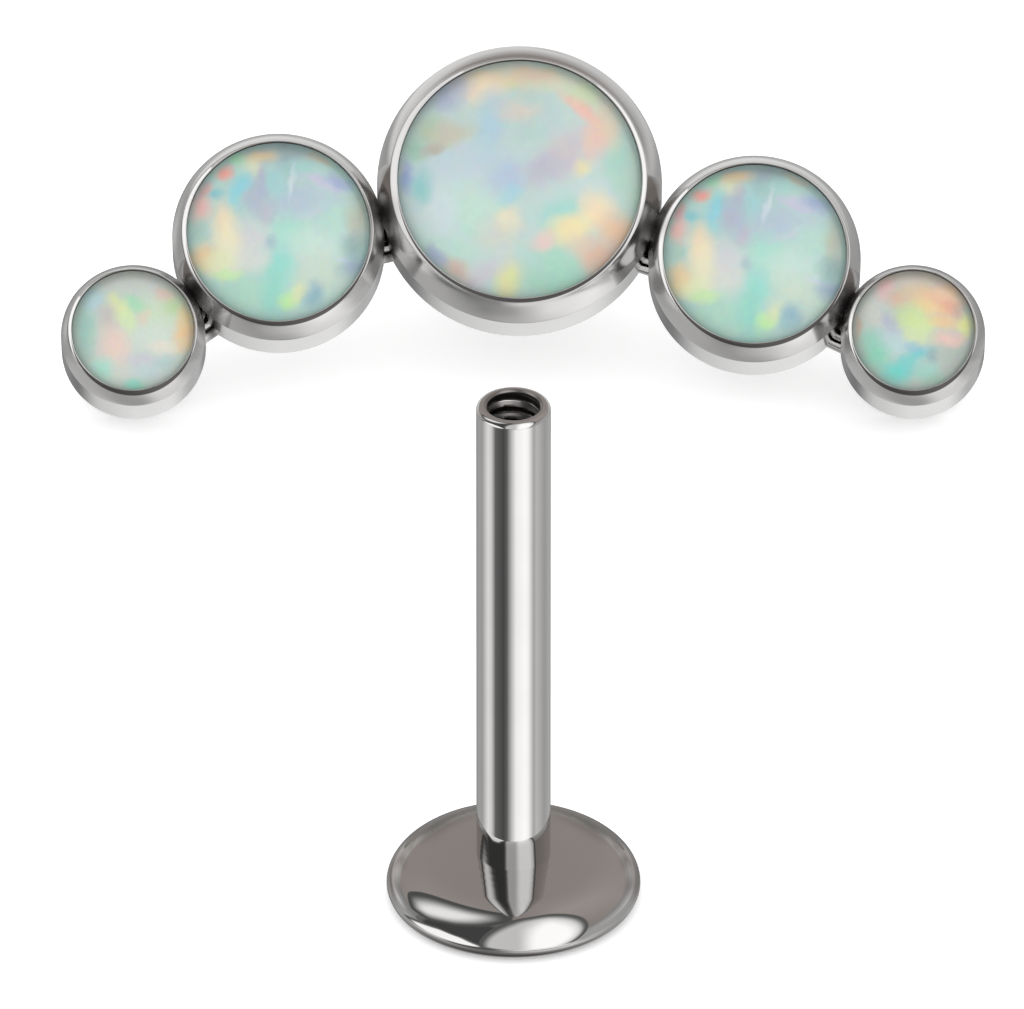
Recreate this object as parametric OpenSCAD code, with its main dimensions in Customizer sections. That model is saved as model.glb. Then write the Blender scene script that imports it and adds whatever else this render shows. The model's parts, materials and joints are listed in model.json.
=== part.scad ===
// Internally threaded flat-back labret stud with a curved five-stone top, stored unscrewed.
// Millimetres, +Z up. The origin is the middle of the disc's flat underside.
// The post stands on its disc. The top lies behind it on its back, propped on the tip of its
// pin and on the back rims of its two end cups, so that its stones face up and forward (-Y).

/* [Post] */
// Diameter of the post, 16 gauge
post_d = 1.2; // [1.1:0.05:1.6]
// Length of the post from the disc to the tip
post_len = 8.5; // [5:0.5:12]
// Diameter of the threaded hole at the crests of its thread
bore_d = 0.86; // [0.7:0.02:0.9]
// Depth of the threaded hole
bore_depth = 3.8; // [3.5:0.1:4.5]
// Radius of the tip's outer edge
tip_round = 0.09; // [0.03:0.01:0.1]

/* [Disc] */
// Diameter of the flat-back disc
disc_d = 4.1; // [3:0.1:5]
// Height of the dome's middle above the flat back
disc_h = 0.86; // [0.84:0.02:1.2]
// Height of the rim's widest line above the flat back
rim_h = 0.24; // [0.15:0.01:0.3]
// Reach of the rounded rim in from its widest line
rim_in = 0.9; // [0.6:0.01:1.1]
// Rise of the rounded rim above its widest line
rim_up = 0.54; // [0.45:0.01:0.58]

/* [Cups] */
// Depth of every cup, from its back to its lip
cup_h = 1.4; // [1.2:0.05:2]
// Height that the outer bevel falls from the lip to the straight wall
bevel_h = 0.42; // [0.25:0.01:0.5]
// Width of the narrow flat lip round a stone
lip_w = 0.06; // [0.04:0.01:0.08]
// Metal round the centre stone, from stone to outer wall
center_metal = 0.35; // [0.25:0.01:0.45]
// Metal round each middle stone
mid_metal = 0.25; // [0.2:0.01:0.4]
// Metal round each end stone
end_metal = 0.19; // [0.16:0.01:0.3]
// Overlap of neighbouring walls where they are soldered
solder_bite = 0.03; // [0.01:0.01:0.06]

/* [Stones] */
// Visible diameter of the centre stone
center_stone_d = 4; // [3:0.1:5]
// Visible diameter of each middle stone
mid_stone_d = 3; // [2:0.1:4]
// Visible diameter of each end stone
end_stone_d = 2; // [1.5:0.1:3]
// Clearance between a stone and its cup
stone_gap = 0.02; // [0.01:0.005:0.03]

/* [Arch] */
// Fall of the line from the centre cup to the left middle cup, degrees
left_fall = 12.6; // [10:0.1:16]
// Fall of the line from the left middle cup to the left end cup, degrees
left_end_fall = 34.9; // [28:0.1:38]
// Fall of the line from the centre cup to the right middle cup, degrees
right_fall = 18; // [12:0.1:20]

/* [Pin] */
// Diameter of the plain pin on the centre cup's back
pin_d = 0.8; // [0.6:0.02:0.84]
// Length of the pin
pin_len = 3.3; // [2.8:0.1:3.5]

/* [Place] */
// Distance from the post's axis back to the top's middle
top_back = 17; // [8:0.5:20]
// Distance from the post's axis across to the top's middle, to the right
top_across = 0.1; // [-1:0.05:1]

/* [Hidden] */
$fn = 96;
titanium = [0.71, 0.70, 0.69];
opal_tints = [[0.72, 0.84, 0.80], [0.70, 0.84, 0.82], [0.78, 0.86, 0.84]];

post_r = post_d / 2;
bore_r = bore_d / 2;
tip_z = disc_h + post_len;
tip_chamfer = 0.03;     // lead-in of the threaded hole
drill_point = 31;       // slope of the hole's conical bottom, degrees
disc_r = disc_d / 2;
rim_curve = 10;         // steps of the rim's lower quarter
rim_top_curve = 12;     // steps of the rim's rounded top
rim_turn = 13.2;        // where the dome meets the rounded rim, degrees from the rim's top
dome_curve = 12;        // steps of a dome

cup_floor = 0.4;        // metal under a stone
edge_cut = 0.06;        // small chamfer round a cup's back
lip_t = 0.06;           // thickness of the lip's inner edge
lip_bite = 0.06;        // reach of the lip over the stone's edge
seat_drop = 0.16;       // from the lip down to the stone's girdle
dome_share = 0.1;       // rise of a stone's dome, as a share of its radius
link_r = 0.1;           // soldered link rod between neighbouring cups
link_drop = 0.55;       // from the line of centres down to the link rod
link_bite = 0.3;        // reach of a link rod into each cup's floor
link_z = 0.25;          // height of the link rods above the cups' backs
pin_cut = 0.08;         // chamfer at the pin's tip

// Columns of a cup: place across, place up the arch, stone radius, metal width
ACROSS = 0;
UP = 1;
STONE_R = 2;
METAL = 3;

function outer_r(cup) = cup[STONE_R] + cup[METAL];
function place(cup) = [cup[ACROSS], cup[UP]];
function chord(cup) = sqrt(pow(outer_r(cup), 2) - pow(link_drop, 2));
function reach(cup, stone_r, metal) = outer_r(cup) + stone_r + metal - solder_bite;
function beside(cup, stone_r, metal, side, fall) =
    let (step = reach(cup, stone_r, metal))
    [cup[ACROSS] + side * step * cos(fall), cup[UP] - step * sin(fall), stone_r, metal];

LEFT = -1;
RIGHT = 1;
mid_r = mid_stone_d / 2;
end_r = end_stone_d / 2;
center_cup = [0, 0, center_stone_d / 2, center_metal];
left_mid = beside(center_cup, mid_r, mid_metal, LEFT, left_fall);
left_end = beside(left_mid, end_r, end_metal, LEFT, left_end_fall);
right_mid = beside(center_cup, mid_r, mid_metal, RIGHT, right_fall);
// The right end cup stands level with the left one, so that the top rests on both
right_end_fall = asin((right_mid[UP] - left_end[UP]) / reach(right_mid, end_r, end_metal));
right_end = beside(right_mid, end_r, end_metal, RIGHT, right_end_fall);
cups = [left_end, left_mid, center_cup, right_mid, right_end];

// The top leans on the tip of its pin and on the far back edges of the end cups
far_edge = -left_end[UP] + outer_r(left_end) - edge_cut;
lean = atan(pin_len / (far_edge - pin_d / 2 + pin_cut));
lift = far_edge * sin(lean);

function arc(middle, r, from, to, steps) =
    [for (i = [0 : steps]) let (a = from + (to - from) * i / steps) middle + r * [cos(a), sin(a)]];

// Half section of the disc: a flat back, a quarter round under the rim, an elliptical rim top
// and a low dome, which meets the rim without an edge
function disc_outline() =
    let (rim_r = disc_r - rim_in,
         join = [rim_r + rim_in * sin(rim_turn), rim_h + rim_up * cos(rim_turn)],
         drop = disc_h - join[1],
         dome_r = (join[0] * join[0] + drop * drop) / (2 * drop),
         half = asin(join[0] / dome_r))
    concat([[0, 0]],
           arc([disc_r - rim_h, rim_h], rim_h, -90, 0, rim_curve),
           [for (i = [1 : rim_top_curve - 1]) let (a = (90 - rim_turn) * i / rim_top_curve)
               [rim_r + rim_in * cos(a), rim_h + rim_up * sin(a)]],
           arc([0, disc_h - dome_r], dome_r, 90 - half, 90, dome_curve));

// Half section of a cup: small chamfer, straight wall, bevel, lip and undercut stone seat
function cup_outline(cup) =
    let (r = outer_r(cup), stone_r = cup[STONE_R], seat_r = stone_r + lip_bite)
    [[0, 0], [r - edge_cut, 0], [r, edge_cut], [r, cup_h - bevel_h],
     [stone_r + lip_w, cup_h], [stone_r, cup_h], [stone_r, cup_h - lip_t],
     [seat_r, cup_h - seat_drop], [seat_r, cup_floor], [0, cup_floor]];

// Half section of a low-domed stone, held under the lip with a small clearance all round
function stone_outline(cup) =
    let (girdle_r = cup[STONE_R] + lip_bite - stone_gap,
         girdle_z = cup_h - seat_drop - stone_gap,
         rise = dome_share * cup[STONE_R] + seat_drop / 2,
         dome_r = (girdle_r * girdle_r + rise * rise) / (2 * rise),
         half = asin(girdle_r / dome_r))
    concat([[0, cup_floor + stone_gap], [girdle_r, cup_floor + stone_gap]],
           arc([0, girdle_z + rise - dome_r], dome_r, 90 - half, 90, dome_curve));

module lying() translate([top_across, top_back, lift]) rotate([lean, 0, 0]) children();

// One small rod low on the underside of a pair of neighbouring cups
module link(left, right) {
    step = place(right) - place(left);
    start = chord(left) - link_bite;
    stop = norm(step) - chord(right) + link_bite;
    translate([left[ACROSS], left[UP], link_z])
        rotate([0, 0, atan2(step[1], step[0])])
            translate([start, -link_drop, 0])
                rotate([0, 90, 0])
                    cylinder(h = stop - start, r = link_r);
}

module pin() {
    translate([0, 0, pin_cut - pin_len]) cylinder(h = pin_len - pin_cut + cup_floor / 2, r = pin_d / 2);
    translate([0, 0, -pin_len]) cylinder(h = pin_cut, r1 = pin_d / 2 - pin_cut, r2 = pin_d / 2);
}

module flat_back_post() {
    color(titanium)
        difference() {
            union() {
                rotate_extrude() polygon(disc_outline());
                rotate_extrude()
                    polygon(concat([[0, rim_h], [post_r, rim_h]],
                                   arc([post_r - tip_round, tip_z - tip_round], tip_round, 0, 90, 6),
                                   [[0, tip_z]]));
            }
            translate([0, 0, tip_z - bore_depth]) cylinder(h = bore_depth + 1, r = bore_r);
            translate([0, 0, tip_z - bore_depth - bore_r * tan(drill_point)])
                cylinder(h = bore_r * tan(drill_point), r1 = 0, r2 = bore_r);
            translate([0, 0, tip_z - tip_chamfer])
                cylinder(h = 2 * tip_chamfer, r1 = bore_r, r2 = bore_r + 2 * tip_chamfer);
        }
}

module bezel_setting() {
    color(titanium)
        lying() {
            for (cup = cups) translate(place(cup)) rotate_extrude() polygon(cup_outline(cup));
            for (i = [0 : len(cups) - 2]) link(cups[i], cups[i + 1]);
            pin();
        }
}

module opal(cup, tint) {
    color(tint) lying() translate(place(cup)) rotate_extrude() polygon(stone_outline(cup));
}

module opal_center() opal(center_cup, opal_tints[0]);
module opal_mid_left() opal(left_mid, opal_tints[1]);
module opal_mid_right() opal(right_mid, opal_tints[1]);
module opal_end_left() opal(left_end, opal_tints[2]);
module opal_end_right() opal(right_end, opal_tints[2]);

flat_back_post();
bezel_setting();
opal_center();
opal_mid_left();
opal_mid_right();
opal_end_left();
opal_end_right();
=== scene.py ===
import json
import math

import bpy
import numpy as np
from mathutils import Matrix, Vector

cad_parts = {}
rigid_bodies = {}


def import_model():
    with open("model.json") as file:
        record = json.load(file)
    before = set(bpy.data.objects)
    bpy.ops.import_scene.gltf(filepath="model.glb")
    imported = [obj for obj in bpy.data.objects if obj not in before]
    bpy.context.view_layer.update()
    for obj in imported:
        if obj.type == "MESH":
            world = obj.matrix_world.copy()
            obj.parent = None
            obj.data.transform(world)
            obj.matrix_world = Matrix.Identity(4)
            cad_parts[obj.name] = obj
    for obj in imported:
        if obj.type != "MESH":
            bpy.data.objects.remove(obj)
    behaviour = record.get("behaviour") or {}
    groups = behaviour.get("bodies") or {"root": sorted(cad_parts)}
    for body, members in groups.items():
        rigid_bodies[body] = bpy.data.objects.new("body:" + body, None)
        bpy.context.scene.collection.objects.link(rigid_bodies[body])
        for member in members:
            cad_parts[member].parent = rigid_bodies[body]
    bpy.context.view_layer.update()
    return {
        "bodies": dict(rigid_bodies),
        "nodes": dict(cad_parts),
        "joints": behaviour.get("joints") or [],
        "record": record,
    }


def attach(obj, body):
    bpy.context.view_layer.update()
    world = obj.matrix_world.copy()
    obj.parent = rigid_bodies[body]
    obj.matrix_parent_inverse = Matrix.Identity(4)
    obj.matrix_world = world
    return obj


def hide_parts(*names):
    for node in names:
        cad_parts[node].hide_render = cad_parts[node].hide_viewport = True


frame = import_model()

mm = 0.001
scene = bpy.context.scene


# Colour and node helpers

smooth = {"interpolation_type": "SMOOTHSTEP"}  # a range with soft ends
colorMix = {"data_type": "RGBA"}


def hexColor(code, alpha=1.0):
    # sRGB hex to the linear values that Blender's sockets take
    channels = [int(code[i:i + 2], 16) / 255 for i in (1, 3, 5)]
    linear = [c / 12.92 if c <= 0.04045 else ((c + 0.055) / 1.055) ** 2.4 for c in channels]
    return (*linear, alpha)


def addNode(tree, kind, settings=None, values=None, links=None):
    # one node with its settings, the fixed values of its sockets and what is linked into it. A node
    # given as a link stands for its own first output
    node = tree.nodes.new(kind)
    for name, value in (settings or {}).items():
        setattr(node, name, value)
    for socket, value in (values or {}).items():
        node.inputs[socket].default_value = value
    for socket, source in (links or {}).items():
        source = source.outputs[0] if isinstance(source, bpy.types.Node) else source
        tree.links.new(source, node.inputs[socket])
    return node


def chain(tree, operation, sockets, values=None):
    # joins many values into one, two at a time, such as the least or the product of them all
    joined = sockets[0]
    for socket in sockets[1:]:
        joined = addNode(tree, "ShaderNodeMath", {"operation": operation}, values, {0: joined, 1: socket})
    return joined


def newMaterial(name):
    # an empty node material and its output node
    material = bpy.data.materials.new(name)
    material.use_nodes = True
    material.node_tree.nodes.clear()
    return material, addNode(material.node_tree, "ShaderNodeOutputMaterial")


# Mesh helpers: outlines of (radius, height) turned round an axis

def arc(centre, radius, start, stop, steps):
    # points on an arc, in degrees, both ends included
    angles = [math.radians(start + (stop - start) * i / steps) for i in range(steps + 1)]
    return [(centre[0] + radius * math.cos(a), centre[1] + radius * math.sin(a)) for a in angles]


def softCorners(corners, guard=0.015, steps=5):
    # rounds each (radius, height, fillet) corner, with a guard point just past each end of its arc,
    # so that the mirror-like flats beside it keep their true shading. A fourth value is passed on
    points = []
    for i, (r, z, fillet, *extra) in enumerate(corners):
        if not fillet:
            points.append((r, z, *extra))
            continue
        here = Vector((r, z))
        before = Vector(corners[i - 1][:2]) - here
        after = Vector(corners[(i + 1) % len(corners)][:2]) - here
        half = before.angle(after) / 2
        cut = fillet / math.tan(half)
        ends = [cut + min(guard, 0.2 * side.length) for side in (before, after)]
        before.normalize()
        after.normalize()
        middle = here + (before + after).normalized() * (fillet / math.sin(half))
        first, last = here + before * cut, here + after * cut
        turned = [middle + (first.lerp(last, step / steps) - middle).normalized() * fillet
                  for step in range(steps + 1)]
        rounded = (here + before * ends[0], *turned, here + after * ends[1])
        points += [(*point, *extra) for point in rounded]
    return points


def lathe(outline, segments, place=None, reach=None):
    # turns an outline about Z. reach(angle, height, extra) is what a row's third value adds to its
    # radius and height, such as a thread. Returns (points in metres, faces, flat places in mm)
    rows = [tuple(row) + (0,) * (3 - len(row)) for row in outline]
    turns = np.linspace(0, 2 * math.pi, segments, endpoint=False)
    poles = [r < 1e-7 for r, z, extra in rows]  # rows that are one point on the axis
    points, ringStart = [], []
    for (r, z, extra), pole in zip(rows, poles):
        ringStart.append(len(points))
        if pole:
            points.append((0.0, 0.0, z))
            continue
        for a in turns:
            outward, upward = reach(a, z, extra) if extra else (0, 0)
            points.append(((r + outward) * math.cos(a), (r + outward) * math.sin(a), z + upward))
    faces = []
    for i in range(len(rows) - 1):
        a, b = ringStart[i], ringStart[i + 1]
        lowPole, highPole = poles[i], poles[i + 1]
        for j in range(segments):
            k = (j + 1) % segments
            if lowPole:
                faces.append((a, b + k, b + j))
            elif highPole:
                faces.append((a + j, a + k, b))
            else:
                faces.append((a + j, a + k, b + k, b + j))
    flat = np.array(points)
    turned = (np.c_[flat, np.ones(len(flat))] @ np.array(place or Matrix.Identity(4)).T)[:, :3]
    return turned * mm, faces, flat[:, :2]


def makeMesh(name, parts):
    # joins (points, faces, ...) parts into one smooth-shaded object at the origin
    points, faces = [], []
    for part in parts:
        start = len(points)
        points += [tuple(p) for p in part[0]]
        faces += [tuple(start + v for v in face) for face in part[1]]
    mesh = bpy.data.meshes.new(name)
    mesh.from_pydata(points, [], faces)
    mesh.update()
    mesh.shade_smooth()
    piece = bpy.data.objects.new(name, mesh)
    scene.collection.objects.link(piece)
    return piece


def unite(piece, other):
    # fuses other into piece as one closed body
    joined = piece.modifiers.new("union", "BOOLEAN")
    joined.operation, joined.solver, joined.object = "UNION", "MANIFOLD", other
    bpy.context.view_layer.update()
    result = piece.evaluated_get(bpy.context.evaluated_depsgraph_get())
    mesh = bpy.data.meshes.new_from_object(result)
    piece.modifiers.clear()
    piece.data = mesh
    mesh.name = piece.name
    bpy.data.objects.remove(other)


def finishPiece(piece, material, nodeName):
    piece.data.materials.clear()  # a fused mesh brings an empty slot
    piece.data.materials.append(material)
    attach(piece, "root")
    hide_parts(nodeName)


# Materials

titanium = {
    "color": "#C8C7C6",  # polished titanium is a slightly warm mid grey, darker than steel
    "dullColor": "#BFBEBD",
    "roughness": 0.03,  # mirror polish, just short of perfect
    "haze": 0.04,  # what the faintest patches of the polish add to it
    "buffing": 0.35,  # mm between the soft waves that a buffing wheel leaves
    "waves": 0.02,  # their strength
    "waveHeight": 0.02,  # mm
    "paintedShadeColor": "#2C2724",  # near-black colour of the painted shade in the cups' seams, crescents, joints and over their rods
}


def polishedTitanium(name, addShade):
    # Implant titanium, turned and then buffed to a mirror: sharp reflections that swim a little over
    # the buffing waves, and patches where the polish is a shade duller. addShade lays over it a piece's
    # own marks and its painted shade, and gives back the colour, the roughness and the normal
    material, output = newMaterial(name)
    tree = material.node_tree
    place = addNode(tree, "ShaderNodeTexCoord")
    waves = addNode(tree, "ShaderNodeTexNoise",
                    values={"Scale": 1 / (titanium["buffing"] * mm), "Detail": 2.0, "Roughness": 0.45},
                    links={"Vector": place.outputs["Object"]})
    patches = addNode(tree, "ShaderNodeTexNoise",
                      values={"Scale": 0.3 / (titanium["buffing"] * mm), "Detail": 3.0},
                      links={"Vector": place.outputs["Object"]})
    duller = addNode(tree, "ShaderNodeMapRange",
                     values={"From Min": 0.4, "From Max": 0.7, "To Min": titanium["roughness"],
                             "To Max": titanium["roughness"] + titanium["haze"]},
                     links={"Value": patches})
    tone = addNode(tree, "ShaderNodeMix", colorMix,
                   {6: hexColor(titanium["color"]), 7: hexColor(titanium["dullColor"])}, {0: patches})
    bump = addNode(tree, "ShaderNodeBump",
                   values={"Strength": titanium["waves"], "Distance": titanium["waveHeight"] * mm},
                   links={"Height": waves})
    color, roughness, normal = addShade(tree, place.outputs["Object"], tone.outputs[2], duller, bump)
    shader = addNode(tree, "ShaderNodeBsdfPrincipled", values={"Metallic": 1.0},
                     links={"Base Color": color, "Roughness": roughness, "Normal": normal})
    tree.links.new(shader.outputs[0], output.inputs["Surface"])
    return material


# The flat-back post, sizes in mm

post = {
    "radius": 0.6,  # 16 gauge
    "length": 8.5,
    "discRadius": 2.05,
    "discHeight": 0.86,
    "rim": 0.24,  # the rim's lower quarter round
    "rimIn": 0.9,  # the rim's rounded top, a quarter of an ellipse
    "rimUp": 0.54,
    "rimTurn": 13.2,  # degrees from the rim's top, where the dome takes over
    "tipRound": 0.09,
    "boreRadius": 0.43,  # at the crests of the thread
    "boreDepth": 3.8,
    "leadIn": 0.03,
    "drillSlope": 31,  # degrees
    "pitch": 0.225,
    "threadDepth": 0.055,
    "groove": (1.25, 0.1),  # steepness of its sides, and the share cut off for the flat crest
    "runOut": 0.3,  # where the thread fades at the bottom
    "runIn": 0.3,  # of a turn, where it starts at the mouth
    "rowsPerTurn": 9,
    "segments": 288,
    "edgeSteps": 16,  # points round the rim's lower quarter
    "rimSteps": 48,
    "domeSteps": 24,
    "guard": 0.02,  # from a rounded edge to the point that keeps the flat beside it true
    "ringStep": 0.5,  # between the plain rings along the post
    # painted shade on the disc, mm: the heights where each starts and is full, how far back it starts and
    # is full, its colour and what it adds to the roughness. It darkens the rim's back and sides, whose back
    # is also duller, and a painted shadow darkens the rim's foot all round, close to its stand
    "rimPaintedShades": [
        ((0.6, 0.44), (-0.9, -0.3), "#8F8885", 0),
        ((0.68, 0.6), (-0.35, 0.15), "#7F7875", 0),
        ((0.71, 0.66), (0.1, 0.4), "#908986", 0),
        ((0.8, 0.72), (0.2, 0.9), "#7B7572", 0.3),
        ((0.66, 0.6), (0.4, 1.0), "#67625F", 0),
        ((0.27, 0.13), (-9, -8), "#4A4644", 0),
    ],
    "cutReach": 0.472,  # from the axis to just past the lead-in
    "cutColor": "#8A8785",  # the thread is cut and not buffed, so it is duller, and its colour is set darker
    "cutRoughness": 0.26,
    # rings that the turning tool leaves on the dome round the post: mm apart, mm high and how far out
    # they fade
    "rings": {"apart": 0.15, "height": 0.0002, "fade": (1.3, 0.8)},
}


def threadReach(angle, height, depth):
    # how far the groove of an internal right-hand thread goes beyond the bore at a point
    turn = (height / post["pitch"] - angle / (2 * math.pi)) % 1
    steepness, crest = post["groove"]
    groove = min(1.0, max(0.0, (1 - abs(2 * turn - 1)) * steepness - crest))
    return depth * groove, 0


def postOutline():
    p = post
    tip = p["discHeight"] + p["length"]
    rimCentre = (p["discRadius"] - p["rim"], p["rim"])
    turn = math.radians(p["rimTurn"])
    joinRadius = p["discRadius"] - p["rimIn"] + p["rimIn"] * math.sin(turn)
    drop = p["discHeight"] - p["rim"] - p["rimUp"] * math.cos(turn)
    domeRadius = (joinRadius ** 2 + drop ** 2) / (2 * drop)
    points = [(0, 0), (0.6, 0), (1.2, 0), (rimCentre[0] - p["guard"], 0)]  # the flat back
    points += arc(rimCentre, p["rim"], -90, 0, p["edgeSteps"])
    for i in range(1, p["rimSteps"]):  # the rim's rounded top
        a = (math.pi / 2 - turn) * i / p["rimSteps"]
        inward = p["rimIn"] * (1 - math.cos(a))
        points.append((p["discRadius"] - inward, p["rim"] + p["rimUp"] * math.sin(a)))
    for i in range(p["domeSteps"] + 1):  # the low dome, from the rim in to the post
        r = joinRadius + (p["radius"] - joinRadius) * i / p["domeSteps"]
        points.append((r, p["discHeight"] - domeRadius + math.sqrt(domeRadius ** 2 - r ** 2)))
    points += [(p["radius"], points[-1][1] + p["guard"] + p["ringStep"] * i) for i in range(16)]
    points.append((p["radius"], tip - p["tipRound"] - p["guard"]))
    points += arc((p["radius"] - p["tipRound"], tip - p["tipRound"]), p["tipRound"], 0, 90, 10)
    mouth = p["boreRadius"] + p["leadIn"]
    points += [(mouth + p["guard"], tip), (mouth + 0.005, tip), (mouth - 0.001, tip - 0.003)]
    return points


def postShade(tree, place, color, roughness, normal):
    # the cut thread, duller and darker, the painted shade on the disc's rim, and the turning rings on the
    # dome
    height = addNode(tree, "ShaderNodeSeparateXYZ", links={0: place})
    across = addNode(tree, "ShaderNodeVectorMath", {"operation": "MULTIPLY"}, {1: (1, 1, 0)}, {0: place})
    axis = addNode(tree, "ShaderNodeVectorMath", {"operation": "LENGTH"}, links={0: across})
    cut = addNode(tree, "ShaderNodeMath", {"operation": "LESS_THAN"}, {1: post["cutReach"] * mm},
                  {0: axis.outputs["Value"]})
    shades = [(cut, post["cutColor"], post["cutRoughness"])]
    for *reaches, code, dullness in post["rimPaintedShades"]:
        shares = []
        for (start, full), axisName in zip(reaches, "ZY"):
            shares.append(addNode(tree, "ShaderNodeMapRange", smooth,
                                  {"From Min": start * mm, "From Max": full * mm},
                                  {"Value": height.outputs[axisName]}))
        shades.append((chain(tree, "MULTIPLY", shares), code, dullness))
    for share, code, dullness in shades:
        color = addNode(tree, "ShaderNodeMix", colorMix, {7: hexColor(code)},
                        {0: share, 6: color}).outputs[2]
        if dullness:
            roughness = addNode(tree, "ShaderNodeMath", {"operation": "MULTIPLY_ADD"}, {1: dullness},
                                {0: share, 2: roughness})
    rings = post["rings"]
    turned = addNode(tree, "ShaderNodeMath", {"operation": "MULTIPLY"},
                     {1: 2 * math.pi / (rings["apart"] * mm)}, {0: axis.outputs["Value"]})
    ridges = addNode(tree, "ShaderNodeMath", {"operation": "SINE"}, links={0: turned})
    fade = addNode(tree, "ShaderNodeMapRange", smooth,
                   {"From Min": rings["fade"][0] * mm, "From Max": rings["fade"][1] * mm},
                   {"Value": axis.outputs["Value"]})
    level = chain(tree, "MULTIPLY", [ridges, fade])
    rippled = addNode(tree, "ShaderNodeBump", values={"Strength": 1.0, "Distance": rings["height"] * mm},
                      links={"Height": level, "Normal": normal})
    return color, roughness, rippled


def boreOutline():
    # from the mouth down to the drill point, with the thread's depth as the third value
    p = post
    tip = p["discHeight"] + p["length"]
    bottom = tip - p["boreDepth"]
    top = tip - p["leadIn"]
    count = int((top - bottom) / p["pitch"] * p["rowsPerTurn"])
    points = []
    for i in range(count + 1):
        z = top - (top - bottom) * i / count
        fade = min(1, (top - z) / (p["runIn"] * p["pitch"]), max(z - bottom, 0) / p["runOut"])
        points.append((p["boreRadius"], z, p["threadDepth"] * fade))
    point = bottom - p["boreRadius"] * math.tan(math.radians(p["drillSlope"]))
    points += [(p["boreRadius"] * 0.5, (bottom + point) / 2), (0, point)]
    return points


postPiece = makeMesh("post_and_disc", [lathe(postOutline() + boreOutline(), post["segments"],
                                             reach=threadReach)])
postPiece.data.set_sharp_from_angle(angle=math.radians(40))
finishPiece(postPiece, polishedTitanium("polishedTitaniumPost", postShade),
            "flat_back_post")
print("post made,", len(postPiece.data.polygons), "faces")


# The curved top, sizes in mm in its own frame: X along the arch, Y up it, Z out of its face

top = {
    "softness": 0.09,  # the wheel leaves the small cups softer than the post
    "dullness": 0.3,  # what the deepest painted shade adds to it
    "shadeShare": 0.86,  # how much of the painted shade's colour its deepest part has
    "back": 17,  # from the post's axis back to the top's middle
    "across": 0.1,  # and across to it
    "cupHeight": 1.4,
    "bevel": 0.42,
    "lipChange": (-0.45, -0.7, -0.3),  # of its width, at the bottom, at the top and on the right
    "lipLean": 0.11,  # of its width, the fall of its top
    "lipWander": 0.0025,  # how far the hand that pushed it over strayed
    "bow": 0.013,  # how far the bevel bows outward
    "bowSide": (0.83, 0.56),  # and which way, outward and up
    "lipBite": 0.06,
    "seatDrop": 0.16,
    "floor": 0.4,
    "edgeCut": 0.06,
    "crestDrop": 0.002,  # from the cup's full height to the lip's crest
    "lipInner": (0.014, 0.004),  # from the stone and from the full height to the lip's inner edge
    "lipThickness": 0.05,
    "fillets": {"back": 0.015, "shoulder": 0.025, "crest": 0.014, "lip": 0.008, "inside": 0.01},
    "solderBite": 0.03,
    "leftFall": 12.6,  # degrees, from the centre cup to the left middle cup
    "leftEndFall": 34.9,
    "rightFall": 18,
    "linkRadius": 0.1,
    "linkDrop": 0.55,
    "solderDrop": 0.4,  # solder runs up into the joint above the rod
    "front": (0.8, 0.1),  # the height where the front starts, and over what height
    # painted shade: the dark seam round each stone, moved up a little, and the black crescent, moved
    # down: how far each is moved, how far beyond the stone it reaches, its soft edge and the crescent's
    # hollow
    "seam": (0.012, 0.014, 0.012),
    "crescent": (0.07, 0.026, 0.01, 0.022),
    "jointPaintedShades": ((0.45, 0.75), (0.1, 0.15)),  # radius and soft edge of each painted shade in a joint
    # the painted shade over each rod: how far down it lies and how far it reaches. It hides the left two
    "linkPaintedShades": ((0.58, 0.24), (0.58, 0.24), (0.33, 0.14), (0.33, 0.14)),
    "linkBite": 0.3,
    "linkHeight": 0.25,
    "pinRadius": 0.4,
    "pinLength": 3.3,
    "pinCut": 0.08,
    "pinFillets": (0.01, 0.02),
}

# the three sizes of cup: stone radius, metal width, widest lip, segments round it
cupSizes = {
    "center": {"stone": 2.0, "metal": 0.35, "lip": 0.14, "segments": 192},
    "mid": {"stone": 1.5, "metal": 0.25, "lip": 0.1, "segments": 160},
    "end": {"stone": 1.0, "metal": 0.19, "lip": 0.08, "segments": 128},
}


def outerRadius(size):
    return cupSizes[size]["stone"] + cupSizes[size]["metal"]


def cupPlaces():
    # where each cup stands along the arch, worked out from the falls of its chords. The right end
    # cup stands level with the left one, so that the top rests on both
    first = outerRadius("center") + outerRadius("mid") - top["solderBite"]
    second = outerRadius("mid") + outerRadius("end") - top["solderBite"]
    falls = ("leftFall", "leftEndFall", "rightFall")
    leftFall, leftEndFall, rightFall = (math.radians(top[fall]) for fall in falls)
    leftMid = (-first * math.cos(leftFall), -first * math.sin(leftFall))
    leftEnd = (leftMid[0] - second * math.cos(leftEndFall), leftMid[1] - second * math.sin(leftEndFall))
    rightMid = (first * math.cos(rightFall), -first * math.sin(rightFall))
    rightEndFall = math.asin((rightMid[1] - leftEnd[1]) / second)
    rightEnd = (rightMid[0] + second * math.cos(rightEndFall), leftEnd[1])
    return {
        "end_left": ("end", *leftEnd), "mid_left": ("mid", *leftMid), "center": ("center", 0, 0),
        "mid_right": ("mid", *rightMid), "end_right": ("end", *rightEnd),
    }


def lyingPlace():
    # the top leans on the tip of its pin and on the far back edges of its end cups
    farEdge = -places["end_right"][2] + outerRadius("end") - top["edgeCut"]
    lean = math.atan(top["pinLength"] / (farEdge - top["pinRadius"] + top["pinCut"]))
    lift = farEdge * math.sin(lean)
    return Matrix.Translation((top["across"], top["back"], lift)) @ Matrix.Rotation(lean, 4, "X")


places = cupPlaces()
order = list(places)
lying = lyingPlace()


def cupPlace(name):
    x, y = places[name][1:]
    return lying @ Matrix.Translation((x, y, 0))


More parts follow.
